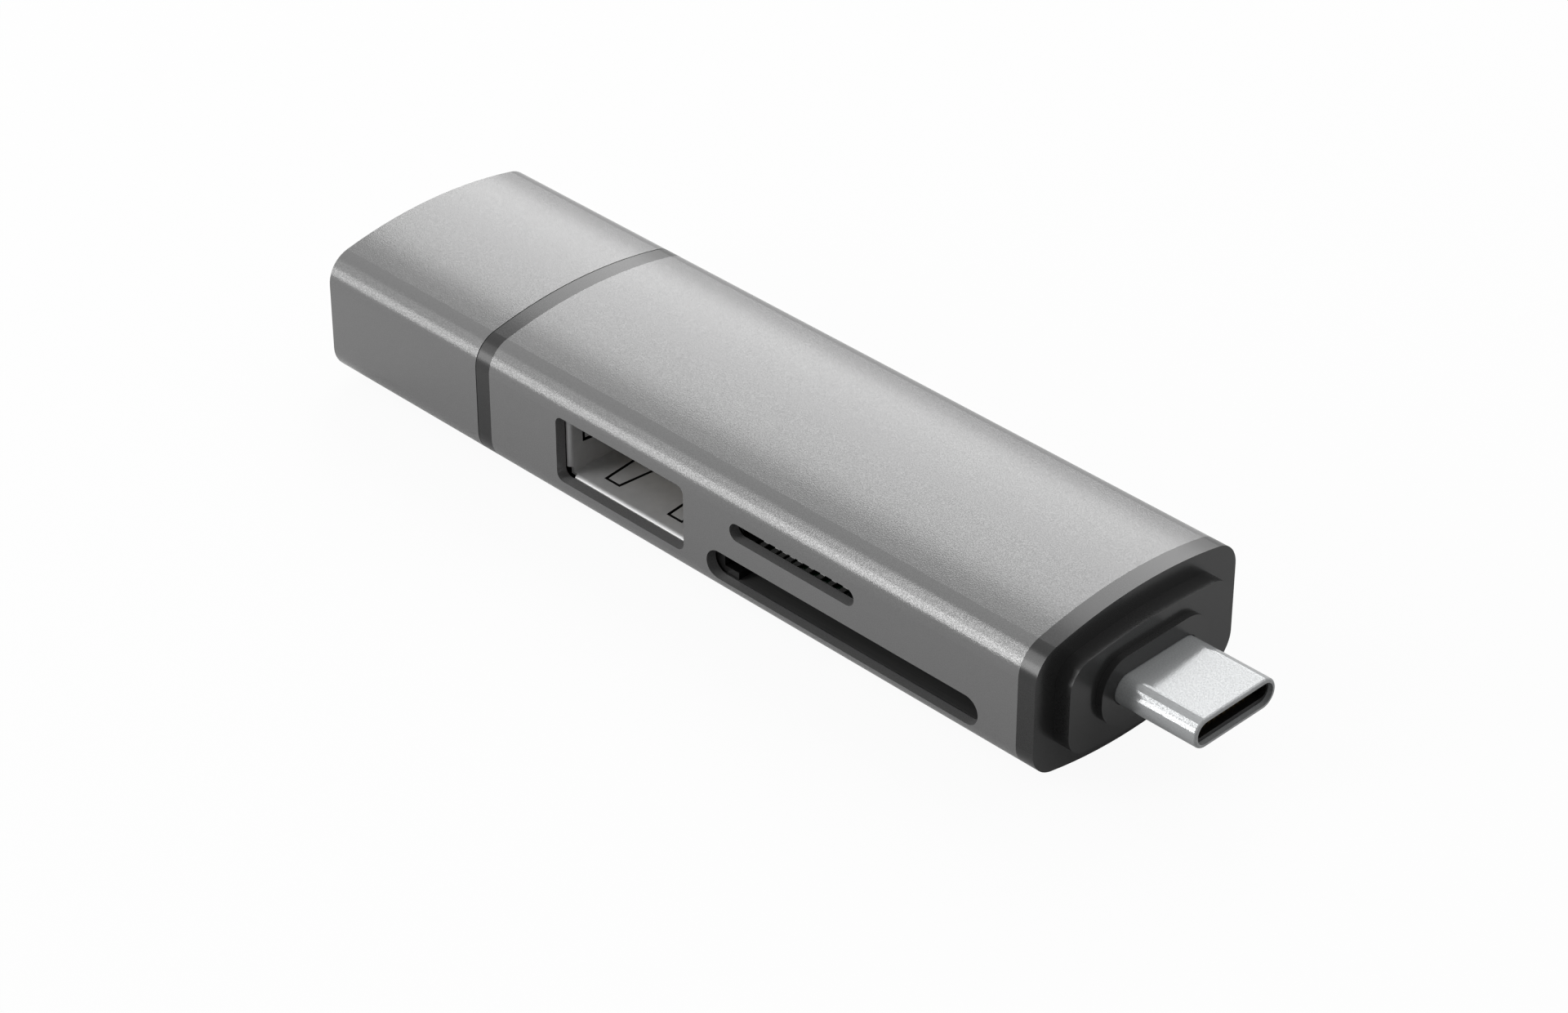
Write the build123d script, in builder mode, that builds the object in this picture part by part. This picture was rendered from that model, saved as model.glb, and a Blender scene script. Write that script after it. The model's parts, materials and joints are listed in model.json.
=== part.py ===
"""USB memory card reader: an aluminium sleeve with a USB-C plug on its nose, a USB-A plug under a
pull-off cap, and a USB-A port, a microSD slot and an SD slot along one side.

Millimetres. X runs along the reader with the USB-C plug at +X, the openings are on the -Y side, Z is up.
The origin is at the middle of the footprint, on the surface that the reader lies on.
"""

import os
from math import radians, sin, sqrt

from build123d import *

os.makedirs("parts", exist_ok=True)

# Driving dimensions

# Section shared by the sleeve, the end plugs and the cap: flat sides, arched top and bottom
body_width = 20.2
body_height = 12.0
crown_rise = 1.37
edge_radius = 2.4
sleeve_wall = 0.88
inner_edge_radius = 0.5

# Lands along the slotted side, clear of the end plugs' inserts
front_margin = 1.06
middle_land = 2.32
rear_margin = 4.11

# Clearances
press_gap = 0.05
slip_gap = 0.1
seat_gap = 0.1
mould_gap = 0.03
solder_gap = 0.02
board_end_gap = 0.5
board_cut_gap = 0.2

# Moulded end plugs: a flange flush with the sleeve, an insert inside it, a spigot outside it
nose_flange = 1.53
rear_flange = 1.4
front_insert_depth = 2.4
rear_insert_depth = 3.0
spigot_width = 16.2
spigot_height = 8.3
spigot_rise = 0.67
spigot_radius = 2.0
spigot_reach = 1.33
step_width = 10.9
step_height = 5.4
step_radius = 2.4
step_reach = 0.5

# Cap
cap_wall = 1.0
cap_end_wall = 1.0
cap_edge_break = 0.25
cap_seam = 0.08
liner_end_wall = 1.2
plug_tip_room = 1.0
plug_side_room = 0.4

# USB-C plug
usb_c_width = 8.25
usb_c_height = 2.4
usb_c_wall = 0.3
usb_c_rim_radius = 0.18
usb_c_reach = 6.93
usb_c_tail = 0.6
usb_c_face_recess = 0.4
usb_c_cavity_width = 7.3
usb_c_cavity_depth = 5.4
usb_c_block_width = 9.0
usb_c_block_height = 3.2
usb_c_block_depth = 1.0
usb_c_contact_count = 12
usb_c_contact_pitch = 0.5
usb_c_contact_width = 0.25
usb_c_contact_thickness = 0.12
usb_c_contact_recess = 1.2
usb_c_contact_bow = 0.16
usb_c_crest_share = 0.7
usb_c_contact_overlap = 1.0
mid_plate_thickness = 0.2
mid_plate_arm = 0.2
mid_plate_hook = 0.18
mid_plate_hook_lead = 0.36
mid_plate_recess = 1.3

# USB-A plug
usb_a_width = 12.0
usb_a_height = 4.5
usb_a_wall = 0.3
usb_a_corner = 0.6
usb_a_least_corner = 0.03
usb_a_rim_bevel = 0.12
usb_a_reach = 12.2
usb_a_window_length = 2.2
usb_a_window_width = 2.5
usb_a_window_spacing = 5.6
usb_a_window_setback = 6.2
usb_a_tongue_height = 1.9
usb_a_tongue_recess = 0.5
usb_a_contact_thickness = 0.2
usb_a_contact_recess = 1.4
usb_a_contact_overlap = 1.3

# The four contacts of a USB-A plug or port: their width and their places across it
usb_contact_width = 1.0
usb_contact_inner = 1.0
usb_contact_outer = 3.5

# USB-A port
port_opening_width = 12.5
port_opening_height = 5.12
port_wall = 0.25
port_depth = 13.6
port_drop = 0.085
port_window_margin = 0.35
port_window_headroom = 0.165
port_window_corner = 0.65
port_lip_bend = 0.1
port_lip_relief = 0.45
port_wing_reach = 1.3
port_wing_length = 2.0
finger_setback = 0.93
finger_length = 3.6
finger_tip_width = 1.12
finger_root_width = 1.86
finger_slit = 0.24
finger_spacing = 6.5
side_finger_rise = 0.4
port_block_depth = 3.0
port_tongue_width = 11.1
port_tongue_height = 1.84
port_tongue_headroom = 0.66
port_tongue_setback = 1.75
port_tongue_chamfer = 0.3
port_contact_thickness = 0.2
port_contact_bow = 0.5
port_contact_setback = 0.6
port_contact_flat_share = 0.4
port_contact_crest_share = 0.8

# Circuit board
board_thickness = 0.8

# microSD socket, on top of the board
microsd_card_width = 11.0
microsd_slot_margin = 0.53
microsd_slot_height = 1.44
microsd_offset = 4.65
microsd_floor = 0.3
microsd_rail = 1.1
microsd_depth = 14.0
microsd_back_wall = 1.0
microsd_cover_thickness = 0.2
microsd_well_length = 3.4
microsd_contact_count = 8
microsd_contact_pitch = 1.1
microsd_contact_width = 0.45
microsd_contact_thickness = 0.12
microsd_contact_toe = 0.5
microsd_contact_dip = 0.18
microsd_contact_ramp = 0.4
microsd_contact_rise = 0.4
microsd_contact_fall = 2.7
microsd_contact_foot = 2.2
microsd_leading_count = 2
microsd_detect_shift = 0.37

# SD socket, under the board: its lower corner sits this many degrees round the sleeve's inner edge
sd_seat_angle = 12.2
sd_card_width = 24.0
sd_slot_margin = 1.0
sd_slot_height = 2.39
sd_roof = 0.63
sd_side_wall = 0.9
sd_back_wall = 1.0
sd_rail_width = 1.39
sd_rail_height = 0.6
sd_cover_thickness = 0.25
sd_contact_count = 9
sd_contact_pitch = 2.5
sd_contact_width = 1.0
sd_contact_thickness = 0.2
sd_contact_length = 6.0
sd_contact_flat_share = 0.4
sd_contact_crest_share = 0.8
sd_contact_bow = 0.8
sd_contact_tip_drop = 0.56

# Room round a card in its socket
card_gap = 0.15

# Springy lances cut in the sheet covers of the two card sockets
lance_length = 4.0
lance_width = 1.4
lance_slit = 0.3

# Parts on the board
chip_size = 5.0
chip_height = 0.85
crystal_length = 3.2
crystal_width = 2.5
crystal_corner = 0.25
crystal_height = 0.75
capacitor_length = 1.0
capacitor_width = 0.5
capacitor_height = 0.5
capacitor_count = 4
part_gap = 0.8

# The most that a rounding takes: of a rounded rectangle's shorter side, and of a sheet's thickness
corner_share = 0.48
rim_share = 0.8

# Openings in the side of the sleeve
port_window_length = port_opening_width + 2 * port_window_margin
port_window_height = port_opening_height + 2 * port_window_headroom
microsd_slot_length = microsd_card_width + 2 * microsd_slot_margin
sd_slot_length = sd_card_width + 2 * sd_slot_margin

# Stations along X
front_land = front_insert_depth + front_margin
rear_land = rear_insert_depth + rear_margin
sleeve_length = front_land + sd_slot_length + middle_land + port_window_length + rear_land
cap_length = (
    cap_end_wall + liner_end_wall + plug_tip_room + usb_a_reach + spigot_reach - cap_seam
)
nose_length = nose_flange + spigot_reach + step_reach
overall_length = (
    cap_length + cap_seam + rear_flange + sleeve_length + nose_length + usb_c_reach
)
cap_end_x = -overall_length / 2
cap_mouth_x = cap_end_x + cap_length
rear_face_x = cap_mouth_x + cap_seam
rear_spigot_x = rear_face_x - spigot_reach
usb_a_tip_x = rear_spigot_x - usb_a_reach
sleeve_rear_x = rear_face_x + rear_flange
usb_a_rear_x = sleeve_rear_x + rear_insert_depth
sleeve_front_x = sleeve_rear_x + sleeve_length
nose_face_x = sleeve_front_x + nose_flange
spigot_face_x = nose_face_x + spigot_reach
step_face_x = spigot_face_x + step_reach
usb_c_tip_x = step_face_x + usb_c_reach
usb_c_shell_rear_x = sleeve_front_x - usb_c_tail
usb_c_rear_x = usb_c_shell_rear_x - usb_c_block_depth
sd_x = sleeve_front_x - front_land - sd_slot_length / 2
microsd_x = sd_x - microsd_offset
port_x = sleeve_rear_x + rear_land + port_window_length / 2
board_front_x = sleeve_front_x - front_insert_depth - board_end_gap
board_rear_x = usb_a_rear_x + board_end_gap
board_nose_x = usb_c_rear_x - board_cut_gap

# The section's upper arc, and inside the sleeve that arc and the centre of the edge rounding, from
# the middle of the section
crown_radius = ((body_width / 2) ** 2 + crown_rise**2) / (2 * crown_rise)
crown_centre = body_height / 2 - crown_radius
inner_crown_radius = crown_radius - sleeve_wall
inner_edge_reach = inner_crown_radius - inner_edge_radius
inner_edge_y = body_width / 2 - sleeve_wall - inner_edge_radius
inner_edge_z = crown_centre + sqrt(inner_edge_reach**2 - inner_edge_y**2)

# Heights of the inner pieces, measured from the middle of the board
board_top = board_thickness / 2
sd_slot_top = -board_thickness / 2 - sd_roof
sd_slot_bottom = sd_slot_top - sd_slot_height
sd_cover_bottom = sd_slot_bottom - sd_cover_thickness
microsd_slot_bottom = board_top + microsd_floor
microsd_slot_top = microsd_slot_bottom + microsd_slot_height
port_half_height = port_opening_height / 2
port_lip_radius = port_wall + port_lip_bend
port_reach_height = port_half_height + port_lip_radius

# The section's middle above the ground, and the board's middle above that
mid_z = body_height / 2
board_z = -sd_cover_bottom - inner_edge_z - inner_edge_radius * sin(radians(sd_seat_angle))


def cavity_half_width(height):
    """Half the width of the sleeve's inside at a height above or below the middle of the section."""
    edge_top = inner_edge_z + inner_edge_radius * (inner_edge_z - crown_centre) / inner_edge_reach
    if abs(height) <= inner_edge_z:
        return body_width / 2 - sleeve_wall
    if abs(height) <= edge_top:
        return inner_edge_y + sqrt(inner_edge_radius**2 - (abs(height) - inner_edge_z) ** 2)
    return sqrt(inner_crown_radius**2 - (abs(height) - crown_centre) ** 2)


def inner_front(low, high):
    """Y just inside the slotted wall for a piece between two heights above the middle of the board."""
    return seat_gap - min(cavity_half_width(board_z + low), cavity_half_width(board_z + high))


def fitted_radius(radius, width, height):
    """The radius, or as much of it as a rounded rectangle of this size can take."""
    return min(radius, corner_share * min(width, height))


# Depths along Y: each socket starts just inside the slotted wall
wall_y = -body_width / 2
port_front_y = inner_front(-port_drop - port_reach_height, -port_drop + port_reach_height)
port_wall_y = port_front_y + port_lip_radius
port_rear_y = port_front_y + port_depth
port_block_y = port_rear_y - port_wall - port_block_depth
microsd_front_y = inner_front(microsd_slot_bottom, microsd_slot_top)
microsd_rear_y = microsd_front_y + microsd_depth
sd_front_y = inner_front(sd_cover_bottom, sd_slot_top)
sd_depth = -2 * sd_front_y
sd_back_y = sd_front_y + sd_depth - sd_back_wall
board_half_width = -inner_front(-board_top, board_top)


def section(x):
    """Plane across the reader at x, centred on the section, facing +X: its own x is Y, its own y is Z."""
    return Plane(origin=(x, 0, mid_z), x_dir=(0, 1, 0), z_dir=(1, 0, 0))


def across(x):
    """Plane across the reader at x, centred on the board, facing +X: its own x is Y, its own y is Z."""
    return Plane(origin=(x, 0, mid_z + board_z), x_dir=(0, 1, 0), z_dir=(1, 0, 0))


def upright(y):
    """Plane along the reader at y, centred on the board, facing -Y: its own x is X, its own y is Z."""
    return Plane(origin=(0, y, mid_z + board_z), x_dir=(1, 0, 0), z_dir=(0, -1, 0))


def level(height):
    """Horizontal plane at a height above the middle of the board, facing up."""
    return Plane.XY.offset(mid_z + board_z + height)


class CrownedSection(BaseSketchObject):
    """Flat sides, arched top and bottom, rounded edges; inset shrinks it evenly all round."""

    def __init__(self, width, height, rise, radius, inset=0, mode=Mode.ADD):
        side = height / 2 - rise
        with BuildSketch() as outline:
            with BuildLine():
                top = ThreePointArc((-width / 2, side), (0, height / 2), (width / 2, side))
                right = Line(top @ 1, (width / 2, -side))
                bottom = ThreePointArc(right @ 1, (0, -height / 2), (-width / 2, -side))
                Line(bottom @ 1, top @ 0)
            make_face()
            fillet(outline.vertices(), radius)
            if inset:
                offset(amount=-inset)
        super().__init__(obj=outline.sketch, mode=mode)


class BodySection(CrownedSection):
    """The section shared by the sleeve, the end plugs' flanges and the cap."""

    def __init__(self, mode=Mode.ADD):
        super().__init__(body_width, body_height, crown_rise, edge_radius, mode=mode)


class CavitySection(CrownedSection):
    """The inside of the sleeve or the cap, an even wall in from its arches and sides, with tighter
    edges; gap shrinks it for a piece that fits in."""

    def __init__(self, wall, gap=0, mode=Mode.ADD):
        half_width = body_width / 2 - wall
        arch = crown_radius - wall
        rise = arch - sqrt(arch**2 - half_width**2)
        height = body_height - 2 * wall
        super().__init__(2 * half_width, height, rise, inner_edge_radius, gap, mode)


class SpigotSection(CrownedSection):
    """The section of the end plugs' spigots, grown by a clearance for the cap that slips over."""

    def __init__(self, clearance=0, mode=Mode.ADD):
        super().__init__(
            spigot_width + 2 * clearance,
            spigot_height + 2 * clearance,
            spigot_rise,
            spigot_radius + clearance,
            mode=mode,
        )


class FingerSlit(BaseSketchObject):
    """The U-shaped slit round a tapered spring finger whose free end is at its own -y end."""

    def __init__(self, tip_width, root_width, length, slit, mode=Mode.ADD):
        tip = tip_width / 2
        root = root_width / 2
        with BuildSketch() as cut:
            Polygon(
                (-tip - slit, -slit),
                (tip + slit, -slit),
                (root + slit, length),
                (-root - slit, length),
                align=None,
            )
            Polygon(
                (-tip, 0), (tip, 0), (root, length), (-root, length), align=None, mode=Mode.SUBTRACT
            )
        super().__init__(obj=cut.sketch, mode=mode)


# Sleeve: an extrusion with three openings milled in one side
with BuildPart() as body_shell:
    with BuildSketch(section(sleeve_rear_x)):
        BodySection()
        CavitySection(sleeve_wall, mode=Mode.SUBTRACT)
    extrude(amount=sleeve_length)
    with BuildSketch(upright(wall_y)):
        with Locations((port_x, -port_drop)):
            corner = fitted_radius(port_window_corner, port_window_length, port_window_height)
            RectangleRounded(port_window_length, port_window_height, corner)
        with Locations((microsd_x, microsd_slot_bottom + microsd_slot_height / 2)):
            SlotOverall(microsd_slot_length, microsd_slot_height)
        with Locations((sd_x, sd_slot_bottom + sd_slot_height / 2)):
            SlotOverall(sd_slot_length, sd_slot_height)
    extrude(amount=wall_y, mode=Mode.SUBTRACT)
body_shell.part.label = "body_shell"
export_step(body_shell.part, "parts/body_shell.step")

# Nose: flange, cap-sized spigot and plug step in front, insert with a pocket for the plug behind
with BuildPart() as front_end_plug:
    with BuildSketch(section(sleeve_front_x)):
        BodySection()
    extrude(amount=nose_flange)
    with BuildSketch(section(nose_face_x)):
        SpigotSection()
    extrude(amount=spigot_reach)
    with BuildSketch(across(spigot_face_x)):
        RectangleRounded(step_width, step_height, fitted_radius(step_radius, step_width, step_height))
    extrude(amount=step_reach)
    with BuildSketch(section(sleeve_front_x)):
        CavitySection(sleeve_wall, gap=press_gap)
    extrude(amount=-front_insert_depth)
    with BuildSketch(across(sleeve_front_x)):
        Rectangle(usb_c_block_width + 2 * slip_gap, usb_c_block_height + 2 * slip_gap)
    extrude(amount=-front_insert_depth, mode=Mode.SUBTRACT)
    with BuildSketch(across(sleeve_front_x)):
        SlotOverall(usb_c_width + 2 * press_gap, usb_c_height + 2 * press_gap)
    extrude(amount=nose_length, mode=Mode.SUBTRACT)
front_end_plug.part.label = "front_end_plug"
export_step(front_end_plug.part, "parts/front_end_plug.step")

# Collar: flange, the spigot that holds the cap, and an insert, with the USB-A plug through all three
with BuildPart() as rear_end_plug:
    with BuildSketch(section(sleeve_rear_x)):
        BodySection()
    extrude(amount=-rear_flange)
    with BuildSketch(section(rear_face_x)):
        SpigotSection()
    extrude(amount=-spigot_reach)
    with BuildSketch(section(sleeve_rear_x)):
        CavitySection(sleeve_wall, gap=press_gap)
    extrude(amount=rear_insert_depth)
    with BuildSketch(across(rear_spigot_x)):
        RectangleRounded(
            usb_a_width + 2 * slip_gap, usb_a_height + 2 * slip_gap, usb_a_corner + slip_gap
        )
    extrude(amount=spigot_reach + rear_flange + rear_insert_depth, mode=Mode.SUBTRACT)
rear_end_plug.part.label = "rear_end_plug"
export_step(rear_end_plug.part, "parts/rear_end_plug.step")

# Cap: the sleeve's section with a closed end
with BuildPart() as cap_shell:
    with BuildSketch(section(cap_end_x)):
        BodySection()
    extrude(amount=cap_length)
    chamfer(cap_shell.faces().sort_by(Axis.X)[0].edges(), cap_edge_break)
    with BuildSketch(section(cap_end_x + cap_end_wall)):
        CavitySection(cap_wall)
    extrude(amount=cap_length - cap_end_wall, mode=Mode.SUBTRACT)
cap_shell.part.label = "cap_shell"
export_step(cap_shell.part, "parts/cap_shell.step")

# Cap liner: its mouth grips the spigot and its pocket clears the USB-A plug
with BuildPart() as cap_liner:
    with BuildSketch(section(cap_end_x + cap_end_wall)):
        CavitySection(cap_wall, gap=press_gap)
    extrude(amount=cap_length - cap_end_wall)
    with BuildSketch(section(cap_mouth_x)):
        SpigotSection(clearance=slip_gap)
    extrude(amount=-spigot_reach - slip_gap, mode=Mode.SUBTRACT)
    with BuildSketch(across(usb_a_tip_x - plug_tip_room)):
        RectangleRounded(
            usb_a_width + 2 * plug_side_room,
            usb_a_height + 2 * plug_side_room,
            usb_a_corner + plug_side_room,
        )
    extrude(amount=usb_a_reach + plug_tip_room, mode=Mode.SUBTRACT)
cap_liner.part.label = "cap_liner"
export_step(cap_liner.part, "parts/cap_liner.step")

# USB-C plug: drawn shell with a rounded rim
with BuildPart() as usb_c_plug_shell:
    with BuildSketch(across(usb_c_shell_rear_x)):
        SlotOverall(usb_c_width, usb_c_height)
    extrude(amount=usb_c_tip_x - usb_c_shell_rear_x)
    rim = usb_c_plug_shell.faces().sort_by(Axis.X)[-1].edges()
    fillet(rim, min(usb_c_rim_radius, rim_share * usb_c_wall))
    with BuildSketch(across(usb_c_shell_rear_x)):
        SlotOverall(usb_c_width - 2 * usb_c_wall, usb_c_height - 2 * usb_c_wall)
    extrude(amount=usb_c_tip_x - usb_c_shell_rear_x, mode=Mode.SUBTRACT)
usb_c_plug_shell.part.label = "usb_c_plug_shell"
export_step(usb_c_plug_shell.part, "parts/usb_c_plug_shell.step")

# The plug's contact rows lie over both faces of the board, so the cavity follows the board
usb_c_row_z = board_top + solder_gap + usb_c_contact_thickness / 2
usb_c_cavity_height = 2 * usb_c_row_z + usb_c_contact_thickness
usb_c_cavity_x = usb_c_tip_x - usb_c_face_recess - usb_c_cavity_depth
usb_c_row_width = usb_c_contact_count * usb_c_contact_pitch
mid_plate_width = usb_c_cavity_width - 2 * mould_gap

with BuildPart() as usb_c_plug_insulator:
    bore_width = usb_c_width - 2 * (usb_c_wall + mould_gap)
    bore_height = usb_c_height - 2 * (usb_c_wall + mould_gap)
    with BuildSketch(across(usb_c_shell_rear_x)):
        SlotOverall(bore_width, bore_height)
    extrude(amount=usb_c_tip_x - usb_c_face_recess - usb_c_shell_rear_x)
    with BuildSketch(across(usb_c_rear_x)):
        Rectangle(usb_c_block_width, usb_c_block_height)
    extrude(amount=usb_c_block_depth)
    with BuildSketch(across(usb_c_cavity_x)):
        SlotOverall(usb_c_cavity_width, usb_c_cavity_height)
    extrude(amount=usb_c_cavity_depth, mode=Mode.SUBTRACT)
    with BuildSketch(across(usb_c_rear_x)):
        Rectangle(mid_plate_width + 2 * mould_gap, mid_plate_thickness + 2 * mould_gap)
        with GridLocations(0, 2 * usb_c_row_z, 1, 2):
            Rectangle(usb_c_row_width, usb_c_contact_thickness + 2 * solder_gap)
    extrude(amount=usb_c_cavity_x - usb_c_rear_x, mode=Mode.SUBTRACT)
usb_c_plug_insulator.part.label = "usb_c_plug_insulator"
export_step(usb_c_plug_insulator.part, "parts/usb_c_plug_insulator.step")

# Two rows of spring contacts, bowed towards each other near the mouth
usb_c_contact_tip_x = usb_c_tip_x - usb_c_contact_recess
usb_c_contact_root_x = board_nose_x - usb_c_contact_overlap
usb_c_crest_x = usb_c_cavity_x + usb_c_crest_share * (usb_c_contact_tip_x - usb_c_cavity_x)

with BuildPart() as usb_c_plug_contacts:
    for contact in range(usb_c_contact_count):
        contact_y = (contact - (usb_c_contact_count - 1) / 2) * usb_c_contact_pitch
        with BuildSketch(upright(contact_y)):
            with BuildLine():
                Polyline(
                    (usb_c_contact_root_x, usb_c_row_z),
                    (usb_c_cavity_x, usb_c_row_z),
                    (usb_c_crest_x, usb_c_row_z - usb_c_contact_bow),
                    (usb_c_contact_tip_x, usb_c_row_z),
                )
            trace(line_width=usb_c_contact_thickness)
        extrude(amount=usb_c_contact_width / 2, both=True)
    mirror(about=level(0))
usb_c_plug_contacts.part.label = "usb_c_plug_contacts"
export_step(usb_c_plug_contacts.part, "parts/usb_c_plug_contacts.step")

# Mid plate between the rows, with a latch arm along each side of the cavity
with BuildPart() as usb_c_mid_plate:
    arm_tip_x = usb_c_tip_x - mid_plate_recess
    arm_outer = mid_plate_width / 2
    arm_inner = arm_outer - mid_plate_arm
    hook_x = arm_tip_x - mid_plate_hook_lead
    with BuildSketch(level(-mid_plate_thickness / 2)):
        with BuildLine():
            Polyline(
                (usb_c_rear_x, 0),
                (usb_c_rear_x, arm_outer),
                (arm_tip_x, arm_outer),
                (hook_x, arm_inner - mid_plate_hook),
                (hook_x - mid_plate_hook, arm_inner),
                (usb_c_cavity_x, arm_inner),
                (usb_c_cavity_x, 0),
                close=True,
            )
        make_face()
        mirror(about=Plane.XZ)
    extrude(amount=mid_plate_thickness)
usb_c_mid_plate.part.label = "usb_c_mid_plate"
export_step(usb_c_mid_plate.part, "parts/usb_c_mid_plate.step")

# USB-A plug: folded shell with two latch windows in its top and two in its bottom
with BuildPart() as usb_a_plug_shell:
    usb_a_inner_width = usb_a_width - 2 * usb_a_wall
    usb_a_inner_height = usb_a_height - 2 * usb_a_wall
    usb_a_inner_corner = max(usb_a_corner - usb_a_wall, usb_a_least_corner)
    with BuildSketch(across(usb_a_tip_x)):
        RectangleRounded(usb_a_width, usb_a_height, usb_a_corner)
    extrude(amount=usb_a_rear_x - usb_a_tip_x)
    chamfer(usb_a_plug_shell.faces().sort_by(Axis.X)[0].edges(), usb_a_rim_bevel)
    with BuildSketch(across(usb_a_tip_x)):
        RectangleRounded(usb_a_inner_width, usb_a_inner_height, usb_a_inner_corner)
    extrude(amount=usb_a_rear_x - usb_a_tip_x, mode=Mode.SUBTRACT)
    with BuildSketch(level(0)):
        with Locations((usb_a_tip_x + usb_a_window_setback, 0)):
            with GridLocations(0, usb_a_window_spacing, 1, 2):
                Rectangle(usb_a_window_length, usb_a_window_width)
    extrude(amount=usb_a_height, both=True, mode=Mode.SUBTRACT)
usb_a_plug_shell.part.label = "usb_a_plug_shell"
export_step(usb_a_plug_shell.part, "parts/usb_a_plug_shell.step")

# The plug's tongue fills the lower half of the shell, and its block fills the shell inside the collar
usb_contact_places = (-usb_contact_outer, -usb_contact_inner, usb_contact_inner, usb_contact_outer)
usb_a_tongue_bottom = mould_gap - usb_a_inner_height / 2
usb_a_tongue_top = usb_a_tongue_bottom + usb_a_tongue_height
usb_a_contact_z = usb_a_tongue_top + usb_a_contact_thickness / 2

with BuildPart() as usb_a_plug_tongue:
    filled_width = usb_a_inner_width - 2 * mould_gap
    filled_height = usb_a_inner_height - 2 * mould_gap
    with BuildSketch(across(usb_a_tip_x + usb_a_tongue_recess)):
        RectangleRounded(filled_width, filled_height, usb_a_inner_corner)
        with Locations((0, usb_a_tongue_top)):
            Rectangle(
                usb_a_width, usb_a_height, align=(Align.CENTER, Align.MIN), mode=Mode.SUBTRACT
            )
    extrude(amount=usb_a_rear_x - usb_a_tip_x - usb_a_tongue_recess)
    with BuildSketch(across(rear_face_x)):
        RectangleRounded(filled_width, filled_height, usb_a_inner_corner)
        for place in usb_contact_places:
            with Locations((place, usb_a_contact_z)):
                Rectangle(
                    usb_contact_width + 2 * mould_gap,
                    usb_a_contact_thickness + 2 * mould_gap,
                    mode=Mode.SUBTRACT,
                )
    extrude(amount=usb_a_rear_x - rear_face_x)
usb_a_plug_tongue.part.label = "usb_a_plug_tongue"
export_step(usb_a_plug_tongue.part, "parts/usb_a_plug_tongue.step")

# Flat contacts on the tongue, stepped up behind it onto the board
with BuildPart() as usb_a_plug_contacts:
    step_x = usb_a_rear_x + board_end_gap / 2
    tail_z = board_top + solder_gap + usb_a_contact_thickness / 2
    for place in usb_contact_places:
        with BuildSketch(upright(place)):
            with BuildLine():
                Polyline(
                    (usb_a_tip_x + usb_a_contact_recess, usb_a_contact_z),
                    (step_x, usb_a_contact_z),
                    (step_x, tail_z),
                    (board_rear_x + usb_a_contact_overlap, tail_z),
                )
            trace(line_width=usb_a_contact_thickness)
        extrude(amount=usb_contact_width / 2, both=True)
usb_a_plug_contacts.part.label = "usb_a_plug_contacts"
export_step(usb_a_plug_contacts.part, "parts/usb_a_plug_contacts.step")

# USB-A port: folded box with a flared lip on each side of its mouth, spring fingers in its walls and a
# solder wing on each flank. A side is its outward direction, its inner face's distance and its length.
port_sides = (
    (Vector(0, 0, -1), port_half_height, port_opening_width),
    (Vector(0, 0, 1), port_half_height, port_opening_width),
    (Vector(-1, 0, 0), port_opening_width / 2, port_opening_height),
    (Vector(1, 0, 0), port_opening_width / 2, port_opening_height),
)
port_middle = Vector(port_x, port_wall_y, mid_z + board_z - port_drop)
inward = Vector(0, 1, 0)

with BuildPart() as usb_a_port_shell:
    with BuildSketch(Plane(port_middle, x_dir=(1, 0, 0), z_dir=(0, -1, 0))):
        Rectangle(port_opening_width + 2 * port_wall, port_opening_height + 2 * port_wall)
    extrude(amount=port_wall_y - port_rear_y)
    with BuildSketch(Plane(port_middle, x_dir=(1, 0, 0), z_dir=(0, -1, 0))):
        Rectangle(port_opening_width, port_opening_height)
    extrude(amount=port_wall_y - port_rear_y + port_wall, mode=Mode.SUBTRACT)
    for outward, distance, length in port_sides:
        edge_middle = port_middle + outward * distance
        with BuildSketch(Plane(edge_middle, x_dir=inward, z_dir=inward.cross(outward))):
            with BuildLine():
                convex = CenterArc((0, port_lip_radius), port_lip_radius, 180, 90)
                concave = CenterArc((0, port_lip_radius), port_lip_bend, 180, 90)
                Line(convex @ 0, concave @ 0)
                Line(convex @ 1, concave @ 1)
            make_face()
        extrude(amount=length / 2 - port_lip_relief, both=True)
        if outward.Z:
            finger_places = (-finger_spacing / 2, finger_spacing / 2)
        else:
            finger_places = (-side_finger_rise * outward.X,)
        with BuildSketch(Plane(edge_middle, x_dir=inward.cross(outward), z_dir=outward)):
            with Locations(*[(place, finger_setback + finger_slit) for place in finger_places]):
                FingerSlit(finger_tip_width, finger_root_width, finger_length, finger_slit)
        extrude(amount=2 * port_wall, both=True, mode=Mode.SUBTRACT)
    with BuildSketch(level(board_top + solder_gap)):
        with Locations((port_x, (port_wall_y + port_rear_y) / 2)):
            port_box_width = port_opening_width + 2 * port_wall
            Rectangle(port_box_width + 2 * port_wing_reach, port_wing_length)
            Rectangle(port_box_width, port_wing_length, mode=Mode.SUBTRACT)
    extrude(amount=port_wall)
usb_a_port_shell.part.label = "usb_a_port_shell"
export_step(usb_a_port_shell.part, "parts/usb_a_port_shell.step")

# The port's tongue stands out from a block at the back of the box, in its upper half
port_tongue_top = port_half_height - port_drop - port_tongue_headroom
port_tongue_bottom = port_tongue_top - port_tongue_height
port_tongue_y = port_front_y + port_tongue_setback

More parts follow.
